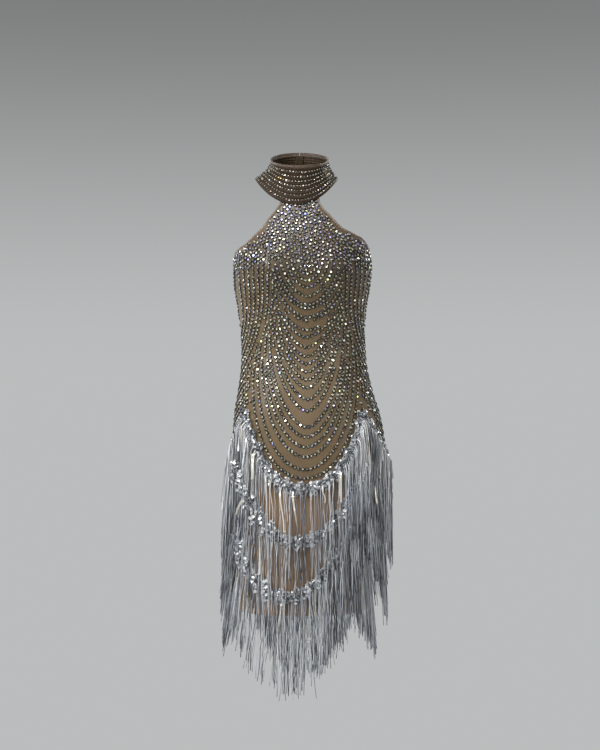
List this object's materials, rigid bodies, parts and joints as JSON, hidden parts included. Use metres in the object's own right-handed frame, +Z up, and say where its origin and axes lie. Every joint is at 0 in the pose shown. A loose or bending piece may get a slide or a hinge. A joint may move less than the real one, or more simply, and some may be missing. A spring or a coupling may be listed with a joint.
{
  "type": "halter-neck fringe dance dress",
  "caption": "Hollow worn halter dance dress with a draped crystal collar, low back and scalloped tiers of sequin-headed silver fringe.",
  "frame": {"origin": "middle of the neck inside the collar, where the wearer holds the dress up", "axes": "+Z up along the body, -Y to the front, +X to the wearer's left"},
  "size_m": [0.333, 0.2597, 1.0595],
  "materials": {
    "nude_mesh": "fine stretch mesh",
    "brown_mesh": "gathered stretch mesh",
    "brown_binding": "satin elastic",
    "tan_binding": "satin elastic",
    "silver_fringe": "lustrous rayon and silver sequins",
    "hook_metal": "nickel plated"
  },
  "bodies": {
    "root": {"front_panel": "nude_mesh", "back_panel": "nude_mesh", "collar": "brown_mesh", "collar_binding": "brown_binding", "armhole_binding_right": "tan_binding", "armhole_binding_left": "tan_binding", "back_binding": "tan_binding", "fringe_tier_1": "silver_fringe", "fringe_tier_2": "silver_fringe", "fringe_tier_3": "silver_fringe", "collar_hook_1": "hook_metal", "collar_hook_2": "hook_metal"}
  },
  "joints": []
}
